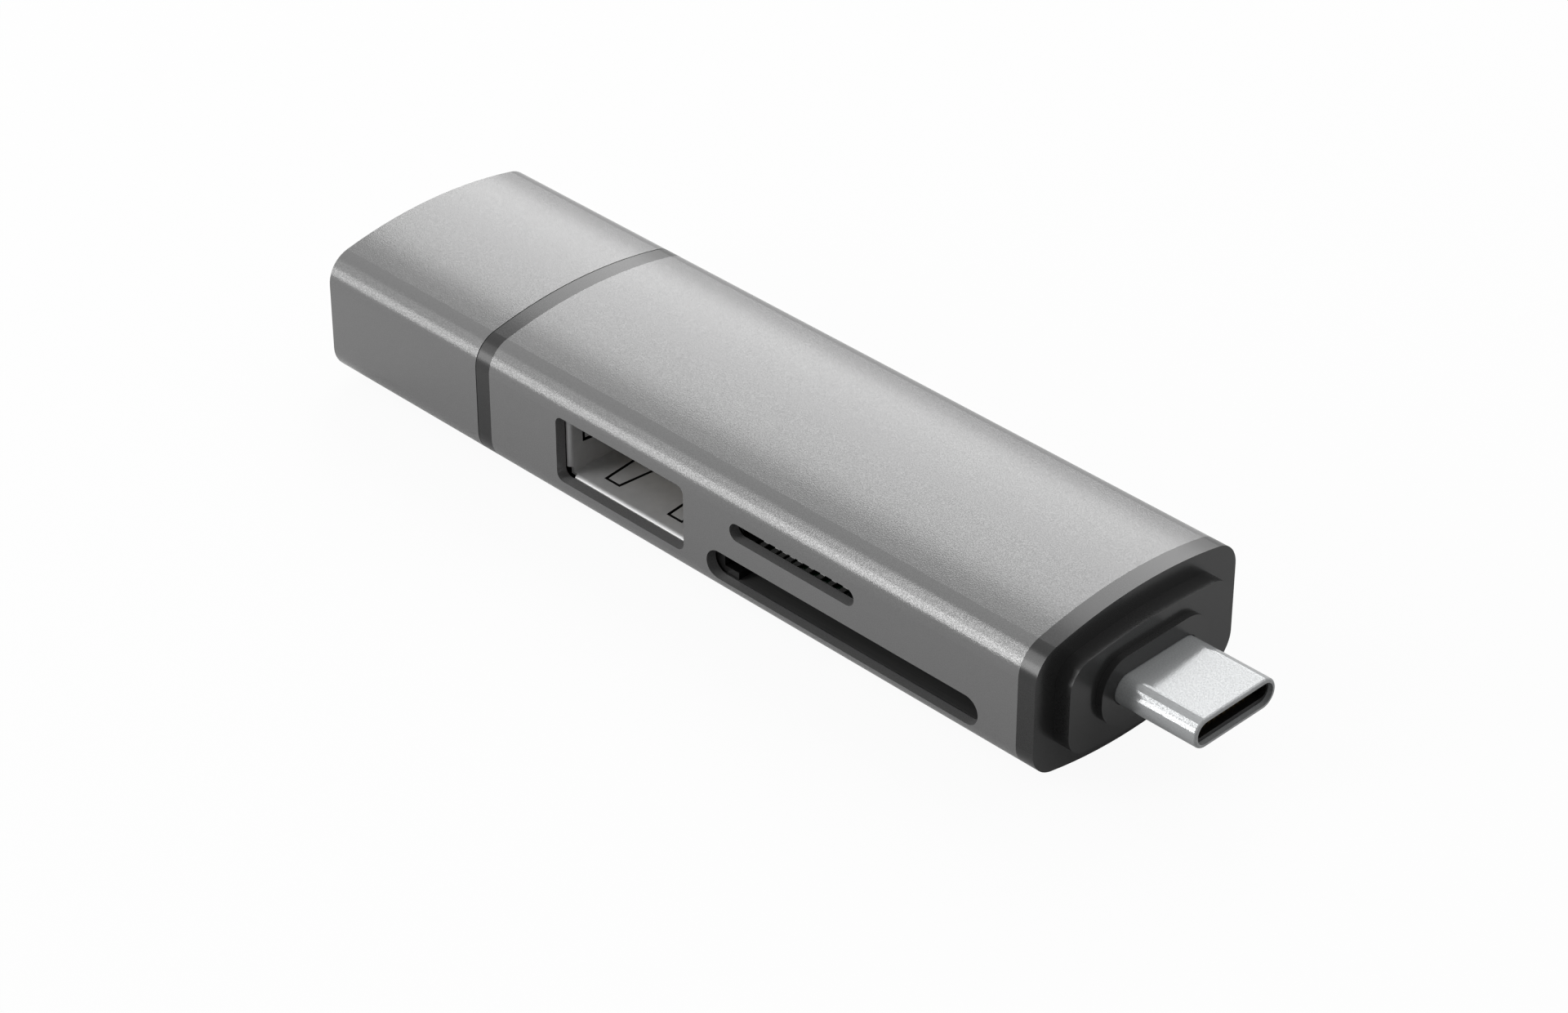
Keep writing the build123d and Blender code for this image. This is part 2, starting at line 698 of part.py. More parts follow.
with BuildPart() as usb_a_port_tongue:
    with BuildSketch(upright(port_block_y)):
        with Locations((port_x, -port_drop)):
            Rectangle(port_opening_width - 2 * mould_gap, port_opening_height - 2 * mould_gap)
    extrude(amount=-port_block_depth)
    with BuildSketch(upright(port_tongue_y)):
        with Locations((port_x, port_tongue_bottom)):
            Rectangle(port_tongue_width, port_tongue_height, align=(Align.CENTER, Align.MIN))
    extrude(amount=port_tongue_y - port_block_y)
    chamfer(usb_a_port_tongue.faces().sort_by(Axis.Y)[0].edges(), port_tongue_chamfer)
usb_a_port_tongue.part.label = "usb_a_port_tongue"
export_step(usb_a_port_tongue.part, "parts/usb_a_port_tongue.step")

# Spring contacts under the port's tongue, bowed down to meet a plug
with BuildPart() as usb_a_port_contacts:
    contact_z = port_tongue_bottom - port_contact_thickness / 2
    contact_tip_y = port_tongue_y + port_contact_setback
    spring = port_block_y - contact_tip_y
    for place in usb_contact_places:
        with BuildSketch(across(port_x + place)):
            with BuildLine():
                Polyline(
                    (port_block_y, contact_z),
                    (port_block_y - port_contact_flat_share * spring, contact_z),
                    (port_block_y - port_contact_crest_share * spring, contact_z - port_contact_bow),
                    (contact_tip_y, contact_z),
                )
            trace(line_width=port_contact_thickness)
        extrude(amount=usb_contact_width / 2, both=True)
usb_a_port_contacts.part.label = "usb_a_port_contacts"
export_step(usb_a_port_contacts.part, "parts/usb_a_port_contacts.step")

# microSD socket: moulded tray on the board, with a well, open in front, under its spring contacts
microsd_channel = microsd_card_width + 2 * card_gap
microsd_base_width = microsd_channel + 2 * microsd_rail
microsd_base_height = microsd_floor + microsd_slot_height - microsd_cover_thickness
microsd_well_width = microsd_contact_count * microsd_contact_pitch

with BuildPart() as microsd_socket_base:
    with BuildSketch(upright(microsd_front_y)):
        with Locations((microsd_x, board_top)):
            Rectangle(microsd_base_width, microsd_base_height, align=(Align.CENTER, Align.MIN))
    extrude(amount=-microsd_depth)
    with BuildSketch(upright(microsd_front_y)):
        with Locations((microsd_x, microsd_slot_bottom)):
            Rectangle(microsd_channel, microsd_slot_height, align=(Align.CENTER, Align.MIN))
    extrude(amount=microsd_back_wall - microsd_depth, mode=Mode.SUBTRACT)
    with BuildSketch(level(board_top)):
        with Locations((microsd_x, microsd_front_y)):
            Rectangle(microsd_well_width, microsd_well_length, align=(Align.CENTER, Align.MIN))
    extrude(amount=microsd_floor, mode=Mode.SUBTRACT)
microsd_socket_base.part.label = "microsd_socket_base"
export_step(microsd_socket_base.part, "parts/microsd_socket_base.step")

# Sheet cover bent down over the tray's sides, with two springy lances in its top
with BuildPart() as microsd_socket_cover:
    cover_top = board_top + microsd_base_height + microsd_cover_thickness
    cover_inner_width = microsd_base_width + 2 * mould_gap
    with BuildSketch(upright(microsd_front_y)):
        with Locations((microsd_x, board_top)):
            Rectangle(
                cover_inner_width + 2 * microsd_cover_thickness,
                cover_top - board_top,
                align=(Align.CENTER, Align.MIN),
            )
            Rectangle(
                cover_inner_width,
                microsd_base_height,
                align=(Align.CENTER, Align.MIN),
                mode=Mode.SUBTRACT,
            )
    extrude(amount=-microsd_depth)
    with BuildSketch(level(cover_top)):
        with Locations((microsd_x, (microsd_front_y + microsd_rear_y) / 2)):
            with GridLocations(microsd_card_width / 2, 0, 2, 1):
                FingerSlit(lance_width, lance_width, lance_length, lance_slit)
    extrude(amount=-microsd_cover_thickness, mode=Mode.SUBTRACT)
microsd_socket_cover.part.label = "microsd_socket_cover"
export_step(microsd_socket_cover.part, "parts/microsd_socket_cover.step")

# Card contacts on an even pitch. The one after the leading ones stands aside for the card-detect blade.
# Each starts with a toe down in the well, ramps up to meet the card and falls to a foot on the tray.
microsd_contact_places = [
    (place - (microsd_contact_count - 1) / 2) * microsd_contact_pitch
    for place in range(microsd_contact_count)
]
microsd_detect_middle = microsd_contact_places[microsd_leading_count]
microsd_contact_places[microsd_leading_count] = microsd_detect_middle - microsd_detect_shift
microsd_contact_places.append(microsd_detect_middle + microsd_detect_shift)

with BuildPart() as microsd_contacts:
    foot_z = microsd_slot_bottom + microsd_contact_thickness / 2
    toe_z = foot_z - microsd_contact_dip
    ramp_y = microsd_front_y + microsd_contact_toe
    crest_y = ramp_y + microsd_contact_ramp
    foot_y = crest_y + microsd_contact_fall
    for place in microsd_contact_places:
        with BuildSketch(across(microsd_x + place)):
            with BuildLine():
                Polyline(
                    (microsd_front_y, toe_z),
                    (ramp_y, toe_z),
                    (crest_y, foot_z + microsd_contact_rise),
                    (foot_y, foot_z),
                    (foot_y + microsd_contact_foot, foot_z),
                )
            trace(line_width=microsd_contact_thickness)
        extrude(amount=microsd_contact_width / 2, both=True)
microsd_contacts.part.label = "microsd_contacts"
export_step(microsd_contacts.part, "parts/microsd_contacts.step")

# SD socket: moulded frame hung under the board, open below, with a guide rail for the card's thin edge
sd_channel = sd_card_width + 2 * card_gap
sd_base_width = sd_channel + 2 * sd_side_wall

with BuildPart() as sd_socket_base:
    with BuildSketch(upright(sd_front_y)):
        with Locations((sd_x, sd_slot_bottom)):
            Rectangle(sd_base_width, sd_slot_height + sd_roof, align=(Align.CENTER, Align.MIN))
    extrude(amount=-sd_depth)
    with BuildSketch(upright(sd_front_y)):
        with Locations((sd_x, sd_slot_bottom)):
            Rectangle(sd_channel, sd_slot_height, align=(Align.CENTER, Align.MIN))
        with Locations((sd_x - sd_channel / 2, sd_slot_bottom)):
            Rectangle(
                sd_rail_width,
                sd_rail_height,
                align=(Align.MIN, Align.MIN),
                mode=Mode.SUBTRACT,
            )
    extrude(amount=sd_back_wall - sd_depth, mode=Mode.SUBTRACT)
sd_socket_base.part.label = "sd_socket_base"
export_step(sd_socket_base.part, "parts/sd_socket_base.step")

# Sheet that closes the SD socket below and makes the floor seen in the slot
with BuildPart() as sd_socket_cover:
    with BuildSketch(level(sd_slot_bottom)):
        with Locations((sd_x, 0)):
            Rectangle(sd_base_width, sd_depth)
            with GridLocations(sd_card_width / 2, 0, 2, 1):
                FingerSlit(lance_width, lance_width, lance_length, lance_slit, mode=Mode.SUBTRACT)
    extrude(amount=-sd_cover_thickness)
sd_socket_cover.part.label = "sd_socket_cover"
export_step(sd_socket_cover.part, "parts/sd_socket_cover.step")

# SD contacts hang from the roof and bow down to meet the card
with BuildPart() as sd_contacts:
    roof_z = sd_slot_top - sd_contact_thickness / 2
    for contact in range(sd_contact_count):
        contact_x = sd_x + (contact - (sd_contact_count - 1) / 2) * sd_contact_pitch
        with BuildSketch(across(contact_x)):
            with BuildLine():
                Polyline(
                    (sd_back_y, roof_z),
                    (sd_back_y - sd_contact_flat_share * sd_contact_length, roof_z),
                    (sd_back_y - sd_contact_crest_share * sd_contact_length, roof_z - sd_contact_bow),
                    (sd_back_y - sd_contact_length, roof_z - sd_contact_tip_drop),
                )
            trace(line_width=sd_contact_thickness)
        extrude(amount=sd_contact_width / 2, both=True)
sd_contacts.part.label = "sd_contacts"
export_step(sd_contacts.part, "parts/sd_contacts.step")

# Board: notched for the port, with a narrow nose that reaches the USB-C plug
with BuildPart() as circuit_board:
    notch_width = port_opening_width + 2 * (port_lip_radius + board_cut_gap)
    notch_depth = board_half_width + port_rear_y + board_cut_gap
    with BuildSketch(level(-board_thickness / 2)):
        with Locations((board_rear_x, 0)):
            Rectangle(
                board_front_x - board_rear_x,
                2 * board_half_width,
                align=(Align.MIN, Align.CENTER),
            )
            Rectangle(
                board_nose_x - board_rear_x, usb_c_block_width, align=(Align.MIN, Align.CENTER)
            )
        with Locations((port_x, -board_half_width)):
            Rectangle(
                notch_width, notch_depth, align=(Align.CENTER, Align.MIN), mode=Mode.SUBTRACT
            )
    extrude(amount=board_thickness)
circuit_board.part.label = "circuit_board"
export_step(circuit_board.part, "parts/circuit_board.step")

# Parts on top of the board, between the microSD socket and the nose
parts_rear_x = microsd_x + cover_inner_width / 2 + microsd_cover_thickness
parts_x = (parts_rear_x + board_front_x) / 2
crystal_y = -chip_size / 2 - part_gap - crystal_width / 2
capacitors_y = chip_size / 2 + part_gap + capacitor_length / 2

with BuildPart() as controller_chip:
    with BuildSketch(level(board_top)):
        with Locations((parts_x, 0)):
            Rectangle(chip_size, chip_size)
    extrude(amount=chip_height)
controller_chip.part.label = "controller_chip"
export_step(controller_chip.part, "parts/controller_chip.step")

with BuildPart() as crystal:
    with BuildSketch(level(board_top)):
        with Locations((parts_x, crystal_y)):
            RectangleRounded(crystal_length, crystal_width, crystal_corner)
    extrude(amount=crystal_height)
crystal.part.label = "crystal"
export_step(crystal.part, "parts/crystal.step")

with BuildPart() as capacitors:
    with BuildSketch(level(board_top)):
        with Locations((parts_x, capacitors_y)):
            with GridLocations(capacitor_width + part_gap, 0, capacitor_count, 1):
                Rectangle(capacitor_width, capacitor_length)
    extrude(amount=capacitor_height)
capacitors.part.label = "capacitors"
export_step(capacitors.part, "parts/capacitors.step")
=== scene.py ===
"""Looks of the memory card reader: finishes for every piece, a white studio, and the camera.

Metres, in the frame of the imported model: +X towards the USB-C plug, the openings on the -Y side, +Z up.
"""

import json
import math

import bpy
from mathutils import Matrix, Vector


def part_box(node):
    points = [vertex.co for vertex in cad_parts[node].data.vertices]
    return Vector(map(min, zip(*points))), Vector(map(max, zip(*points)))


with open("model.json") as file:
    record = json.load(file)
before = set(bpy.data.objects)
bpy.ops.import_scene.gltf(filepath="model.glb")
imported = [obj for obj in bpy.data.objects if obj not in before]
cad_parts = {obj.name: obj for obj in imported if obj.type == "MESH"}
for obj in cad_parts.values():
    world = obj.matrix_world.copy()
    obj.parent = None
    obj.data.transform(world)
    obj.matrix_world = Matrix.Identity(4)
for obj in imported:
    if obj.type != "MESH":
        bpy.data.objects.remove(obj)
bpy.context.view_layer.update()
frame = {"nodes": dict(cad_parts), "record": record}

MM = 0.001

# Camera, solved from the edges of the object in the picture
CAMERA_TARGET = Vector((2.034, -3.951, 6.0)) * MM
CAMERA_AZIMUTH = 45.10
CAMERA_ELEVATION = 34.23
CAMERA_DISTANCE = 309.96 * MM
CAMERA_LENS = 100.95

# The opening between the walls of the USB-A port's shell, how far outside it a surface gets painted shade
# as a sheared edge in a finger slit, and how deep the shell's flared lips reach in
PORT_OPENING = (12.5 * MM, 5.12 * MM)
PORT_SHADE_START = 0.015 * MM
PORT_LIP_DEPTH = 0.9 * MM

# Soft boxes that run along the reader. Each one's angle goes round the X axis, from 0 on the +Y side over
# the top to 180 on the -Y side; its spread is the angle that it fills, its shift and length are along X.
SOFT_BOXES = {
    "rear_soft_box": {"angle": 42.5, "spread": 42, "shift": -0.44, "length": 0.44, "brightness": 3.2},
    "far_soft_box": {"angle": 52, "spread": 40, "shift": 0.12, "length": 0.6, "brightness": 1.2},
    "front_soft_box": {"angle": 165.5, "spread": 29, "shift": -0.44, "length": 0.44, "brightness": 3.4},
    "front_fill": {"angle": 148, "spread": 60, "shift": -0.44, "length": 0.44, "brightness": 1.1},
    "nose_accent": {"angle": 147, "spread": 62, "shift": -0.31, "length": 0.18, "brightness": 3.4},
}
BOX_DISTANCE = 0.6
AMBIENT = 0.33

# The floor as it is seen, and the duller floor that light bounces off; the share of its white that is
# glow, where it is seen straight and in a reflection
FLOOR_SIZE = 3.0
FLOOR_SHADE = "#f4f4f4"
FLOOR_BOUNCE_SHADE = "#848484"
FLOOR_GLOW = 0.94
FLOOR_REFLECTED_GLOW = 0.15

# Most values of a noise texture lie in this span; a pattern that should reach its own ends is stretched
# over it
NOISE_SPAN = (0.38, 0.62)

# How metallic the brightest facets of the sleeve are, and the tinned ends of the capacitors
FACET_SHINE = 0.24
TINNED_SHINE = 0.7

# The width of the tinned band on each end of a capacitor
TINNED_BAND = 0.24 * MM

# How much rougher a contact is where it was wiped most
WIPED_ROUGHNESS = 0.14


def linear(hex_colour):
    """An sRGB hex colour as linear red, green, blue and alpha."""
    channels = [int(hex_colour[i:i + 2], 16) / 255 for i in (1, 3, 5)]
    return [c / 12.92 if c <= 0.04045 else ((c + 0.055) / 1.055) ** 2.4 for c in channels] + [1.0]


def per_metre(size_mm):
    """A texture scale whose pattern repeats about once in this many millimetres."""
    return 1 / (size_mm * MM)


def add(tree, kind, inputs=(), **settings):
    """Add a node with its settings; an input's value is a number, a colour or another node's output."""
    made = tree.nodes.new(kind)
    for name, value in settings.items():
        setattr(made, name, value)
    for name, value in dict(inputs).items():
        if isinstance(value, bpy.types.NodeSocket):
            tree.links.new(value, made.inputs[name])
        else:
            made.inputs[name].default_value = value
    return made


def blank(name):
    """A material with an empty tree, the tree, and the Object coordinates in it."""
    material = bpy.data.materials.new(name)
    material.use_nodes = True
    tree = material.node_tree
    tree.nodes.clear()
    return material, tree, add(tree, "ShaderNodeTexCoord").outputs["Object"]


# A Mix node of colours takes them at these inputs and gives the result at this output
MIX_FACTOR, MIX_FIRST, MIX_SECOND, MIX_RESULT = 0, 6, 7, 2


def bead_blasted_aluminium():
    """Bead-blasted, grey-anodised aluminium: a soft satin sheen, broken up by tiny facets that shine
    unequally. The facets are drawn larger than the real ones, as coarse as they need to show."""
    material, tree, place = blank("bead_blasted_aluminium")
    grit = add(tree, "ShaderNodeTexNoise", {
        "Vector": place, "Scale": per_metre(0.1), "Detail": 1.0})
    facet = add(tree, "ShaderNodeMapRange", {
        "Value": grit.outputs["Fac"], "From Min": NOISE_SPAN[0], "From Max": NOISE_SPAN[1]})
    shine = add(tree, "ShaderNodeMath", {0: facet.outputs["Result"], 1: FACET_SHINE}, operation="MULTIPLY")
    tone = add(tree, "ShaderNodeMix", {
        MIX_FACTOR: facet.outputs["Result"], MIX_FIRST: linear("#757575"), MIX_SECOND: linear("#7d7d7d")},
        data_type="RGBA")
    drift = add(tree, "ShaderNodeTexNoise", {"Vector": place, "Scale": per_metre(9.0), "Detail": 2.0})
    roughness = add(tree, "ShaderNodeMapRange", {
        "Value": drift.outputs["Fac"], "To Min": 0.15, "To Max": 0.19})
    bump = add(tree, "ShaderNodeBump", {"Height": grit.outputs["Fac"], "Distance": 0.007 * MM})
    surface = add(tree, "ShaderNodeBsdfPrincipled", {
        "Base Color": tone.outputs[MIX_RESULT], "Metallic": shine.outputs[0],
        "Roughness": roughness.outputs["Result"], "Normal": bump.outputs["Normal"]})
    add(tree, "ShaderNodeOutputMaterial", {"Surface": surface.outputs["BSDF"]})
    return material


def satin_abs():
    """Moulded black ABS from a finely eroded mould: nearly black, with a broad soft gloss."""
    material, tree, place = blank("satin_abs")
    grain = add(tree, "ShaderNodeTexNoise", {"Vector": place, "Scale": per_metre(0.12), "Detail": 2.0})
    tone = add(tree, "ShaderNodeMix", {
        MIX_FACTOR: grain.outputs["Fac"], MIX_FIRST: linear("#232323"), MIX_SECOND: linear("#2d2d2d")},
        data_type="RGBA")
    roughness = add(tree, "ShaderNodeMapRange", {
        "Value": grain.outputs["Fac"], "To Min": 0.2, "To Max": 0.28})
    bump = add(tree, "ShaderNodeBump", {"Height": grain.outputs["Fac"], "Distance": 0.002 * MM})
    surface = add(tree, "ShaderNodeBsdfPrincipled", {
        "Base Color": tone.outputs[MIX_RESULT], "Roughness": roughness.outputs["Result"], "IOR": 1.46,
        "Normal": bump.outputs["Normal"]})
    add(tree, "ShaderNodeOutputMaterial", {"Surface": surface.outputs["BSDF"]})
    return material


def nickel_plate():
    """Drawn steel under satin nickel: bright and faintly cool, with a very fine frosted grain, drawn
    coarser than the real one so that it shows."""
    material, tree, place = blank("nickel_plate")
    frost = add(tree, "ShaderNodeTexNoise", {
        "Vector": place, "Scale": per_metre(0.1), "Detail": 1.0})
    shine = add(tree, "ShaderNodeMapRange", {
        "Value": frost.outputs["Fac"], "From Min": NOISE_SPAN[0], "From Max": NOISE_SPAN[1],
        "To Min": 0.06, "To Max": 0.28})
    tone = add(tree, "ShaderNodeMix", {
        MIX_FACTOR: frost.outputs["Fac"], MIX_FIRST: linear("#a0a2a3"), MIX_SECOND: linear("#b8babb")},
        data_type="RGBA")
    roughness = add(tree, "ShaderNodeMapRange", {
        "Value": frost.outputs["Fac"], "To Min": 0.09, "To Max": 0.13})
    bump = add(tree, "ShaderNodeBump", {"Height": frost.outputs["Fac"], "Distance": 0.0015 * MM})
    surface = add(tree, "ShaderNodeBsdfPrincipled", {
        "Base Color": tone.outputs[MIX_RESULT], "Metallic": shine.outputs["Result"],
        "Roughness": roughness.outputs["Result"], "Normal": bump.outputs["Normal"]})
    add(tree, "ShaderNodeOutputMaterial", {"Surface": surface.outputs["BSDF"]})
    return material


def matte_tin_plate():
    """Folded steel strip with a matte tin plate: pale, cloudy and only a little mirror-like. The sheared
    edges of its fingers, which lie outside the port's opening, are painted near-black as the shade in the
    finger slits."""
    material, tree, place = blank("matte_tin_plate")
    low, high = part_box("usb_a_port_shell")
    middle = (Vector(low) + Vector(high)) / 2
    half_depth = (high[1] - low[1]) / 2
    from_middle = add(tree, "ShaderNodeVectorMath", {0: place, 1: middle}, operation="SUBTRACT")
    apart = add(tree, "ShaderNodeVectorMath", {0: from_middle.outputs[0]}, operation="ABSOLUTE")
    across, along, above = add(tree, "ShaderNodeSeparateXYZ", {"Vector": apart.outputs[0]}).outputs
    beside = add(tree, "ShaderNodeMath", {
        0: across, 1: PORT_OPENING[0] / 2 + PORT_SHADE_START}, operation="GREATER_THAN")
    beyond = add(tree, "ShaderNodeMath", {
        0: above, 1: PORT_OPENING[1] / 2 + PORT_SHADE_START}, operation="GREATER_THAN")
    outside = add(tree, "ShaderNodeMath", {0: beside.outputs[0], 1: beyond.outputs[0]}, operation="MAXIMUM")
    inside_lips = add(tree, "ShaderNodeMath", {
        0: along, 1: half_depth - PORT_LIP_DEPTH}, operation="LESS_THAN")
    # Painted shade: the sheared edges in the finger slits, outside the opening and deeper than the lips
    slit_shade = add(tree, "ShaderNodeMath", {
        0: outside.outputs[0], 1: inside_lips.outputs[0]}, operation="MULTIPLY")
    cloud = add(tree, "ShaderNodeTexNoise", {"Vector": place, "Scale": per_metre(0.7), "Detail": 4.0})
    plated = add(tree, "ShaderNodeMix", {
        MIX_FACTOR: cloud.outputs["Fac"], MIX_FIRST: linear("#b8b8b8"), MIX_SECOND: linear("#cacaca")},
        data_type="RGBA")
    # Those edges get near-black in place of the tin, as painted shade
    tone = add(tree, "ShaderNodeMix", {
        MIX_FACTOR: slit_shade.outputs[0], MIX_FIRST: plated.outputs[MIX_RESULT],
        MIX_SECOND: linear("#1c1c1c")}, data_type="RGBA")
    roughness = add(tree, "ShaderNodeMapRange", {
        "Value": cloud.outputs["Fac"], "To Min": 0.28, "To Max": 0.4})
    bump = add(tree, "ShaderNodeBump", {"Height": cloud.outputs["Fac"], "Distance": 0.004 * MM})
    surface = add(tree, "ShaderNodeBsdfPrincipled", {
        "Base Color": tone.outputs[MIX_RESULT], "Metallic": 0.2,
        "Roughness": roughness.outputs["Result"], "Normal": bump.outputs["Normal"]})
    add(tree, "ShaderNodeOutputMaterial", {"Surface": surface.outputs["BSDF"]})
    return material


def rolled_stainless():
    """Cold-rolled stainless sheet: mid grey, with the rolling direction drawn as fine lines along X,
    coarser than the real ones so that they show."""
    material, tree, place = blank("rolled_stainless")
    stretched = add(tree, "ShaderNodeMapping", {
        "Vector": place, "Scale": (per_metre(5.0), per_metre(0.12), per_metre(0.12))})
    lines = add(tree, "ShaderNodeTexNoise", {
        "Vector": stretched.outputs["Vector"], "Scale": 1.0, "Detail": 3.0})
    tone = add(tree, "ShaderNodeMix", {
        MIX_FACTOR: lines.outputs["Fac"], MIX_FIRST: linear("#5c5c5c"), MIX_SECOND: linear("#747474")},
        data_type="RGBA")
    roughness = add(tree, "ShaderNodeMapRange", {
        "Value": lines.outputs["Fac"], "To Min": 0.28, "To Max": 0.42})
    bump = add(tree, "ShaderNodeBump", {"Height": lines.outputs["Fac"], "Distance": 0.003 * MM})
    surface = add(tree, "ShaderNodeBsdfPrincipled", {
        "Base Color": tone.outputs[MIX_RESULT], "Metallic": 0.6,
        "Roughness": roughness.outputs["Result"], "Normal": bump.outputs["Normal"]})
    add(tree, "ShaderNodeOutputMaterial", {"Surface": surface.outputs["BSDF"]})
    return material


def stamped_contact(name, dull, bright, metallic, least_roughness):
    """Stamped and plated contact strip: gold with a clear shine, or tin drawn dark grey as painted shade,
    with faint wiping marks."""
    material, tree, place = blank(name)
    stretched = add(tree, "ShaderNodeMapping", {
        "Vector": place, "Scale": (per_metre(0.3), per_metre(0.3), per_metre(0.08))})
    marks = add(tree, "ShaderNodeTexNoise", {
        "Vector": stretched.outputs["Vector"], "Scale": 1.0, "Detail": 3.0})
    tone = add(tree, "ShaderNodeMix", {
        MIX_FACTOR: marks.outputs["Fac"], MIX_FIRST: linear(dull), MIX_SECOND: linear(bright)},
        data_type="RGBA")
    roughness = add(tree, "ShaderNodeMapRange", {
        "Value": marks.outputs["Fac"], "To Min": least_roughness,
        "To Max": least_roughness + WIPED_ROUGHNESS})
    bump = add(tree, "ShaderNodeBump", {"Height": marks.outputs["Fac"], "Distance": 0.002 * MM})
    surface = add(tree, "ShaderNodeBsdfPrincipled", {
        "Base Color": tone.outputs[MIX_RESULT], "Metallic": metallic,
        "Roughness": roughness.outputs["Result"], "Normal": bump.outputs["Normal"]})
    add(tree, "ShaderNodeOutputMaterial", {"Surface": surface.outputs["BSDF"]})
    return material


def glass_filled_nylon():
    """Moulded black glass-filled nylon: deep black, with pale flecks of fibre lying along the flow, thicker
    than real fibres so that they show."""
    material, tree, place = blank("glass_filled_nylon")
    flow = add(tree, "ShaderNodeMapping", {
        "Vector": place, "Scale": (per_metre(0.35), per_metre(0.06), per_metre(0.06))})
    fibres = add(tree, "ShaderNodeTexNoise", {
        "Vector": flow.outputs["Vector"], "Scale": 1.0, "Detail": 2.0})
    shown = add(tree, "ShaderNodeMapRange", {
        "Value": fibres.outputs["Fac"], "From Min": 0.62, "From Max": 0.8})
    tone = add(tree, "ShaderNodeMix", {
        MIX_FACTOR: shown.outputs["Result"], MIX_FIRST: linear("#0a0a0a"), MIX_SECOND: linear("#1c1c1c")},
        data_type="RGBA")
    roughness = add(tree, "ShaderNodeMapRange", {
        "Value": fibres.outputs["Fac"], "To Min": 0.34, "To Max": 0.46})
    bump = add(tree, "ShaderNodeBump", {"Height": fibres.outputs["Fac"], "Distance": 0.003 * MM})
    surface = add(tree, "ShaderNodeBsdfPrincipled", {
        "Base Color": tone.outputs[MIX_RESULT], "Roughness": roughness.outputs["Result"], "IOR": 1.45,
        "Normal": bump.outputs["Normal"]})
    add(tree, "ShaderNodeOutputMaterial", {"Surface": surface.outputs["BSDF"]})
    return material


def solder_mask():
    """Green solder mask on a glass-epoxy board: glossy, paler where copper tracks run underneath."""
    material, tree, place = blank("solder_mask")
    track_pitch = 0.6
    bands_at_scale_one = 20 / (2 * math.pi)  # in one metre, as the wave texture draws them
    tracks = add(tree, "ShaderNodeTexWave", {
        "Vector": place, "Scale": per_metre(track_pitch) / bands_at_scale_one, "Distortion": 0.0},
        bands_direction="Y")
    stripes = add(tree, "ShaderNodeMapRange", {
        "Value": tracks.outputs["Fac"], "From Min": 0.45, "From Max": 0.55})
    zones = add(tree, "ShaderNodeTexNoise", {"Vector": place, "Scale": per_metre(5.0), "Detail": 0.0})
    routed = add(tree, "ShaderNodeMapRange", {
        "Value": zones.outputs["Fac"], "From Min": 0.49, "From Max": 0.51})
    copper = add(tree, "ShaderNodeMath", {
        0: stripes.outputs["Result"], 1: routed.outputs["Result"]}, operation="MULTIPLY")
    tone = add(tree, "ShaderNodeMix", {
        MIX_FACTOR: copper.outputs[0], MIX_FIRST: linear("#07170e"), MIX_SECOND: linear("#0d2a19")},
        data_type="RGBA")
    roughness = add(tree, "ShaderNodeMapRange", {
        "Value": zones.outputs["Fac"], "To Min": 0.25, "To Max": 0.4})
    bump = add(tree, "ShaderNodeBump", {"Height": copper.outputs[0], "Distance": 0.02 * MM})
    surface = add(tree, "ShaderNodeBsdfPrincipled", {
        "Base Color": tone.outputs[MIX_RESULT], "Roughness": roughness.outputs["Result"], "IOR": 1.5,
        "Normal": bump.outputs["Normal"]})
    add(tree, "ShaderNodeOutputMaterial", {"Surface": surface.outputs["BSDF"]})
    return material


def moulded_epoxy():
    """Transfer-moulded epoxy of a chip: flat charcoal, speckled by its silica filler."""
    material, tree, place = blank("moulded_epoxy")
    filler = add(tree, "ShaderNodeTexNoise", {"Vector": place, "Scale": per_metre(0.08), "Detail": 3.0})
    tone = add(tree, "ShaderNodeMix", {
        MIX_FACTOR: filler.outputs["Fac"], MIX_FIRST: linear("#131313"), MIX_SECOND: linear("#232323")},
        data_type="RGBA")
    roughness = add(tree, "ShaderNodeMapRange", {
        "Value": filler.outputs["Fac"], "To Min": 0.5, "To Max": 0.65})
    bump = add(tree, "ShaderNodeBump", {"Height": filler.outputs["Fac"], "Distance": 0.004 * MM})
    surface = add(tree, "ShaderNodeBsdfPrincipled", {
        "Base Color": tone.outputs[MIX_RESULT], "Roughness": roughness.outputs["Result"], "IOR": 1.5,
        "Normal": bump.outputs["Normal"]})
    add(tree, "ShaderNodeOutputMaterial", {"Surface": surface.outputs["BSDF"]})
    return material


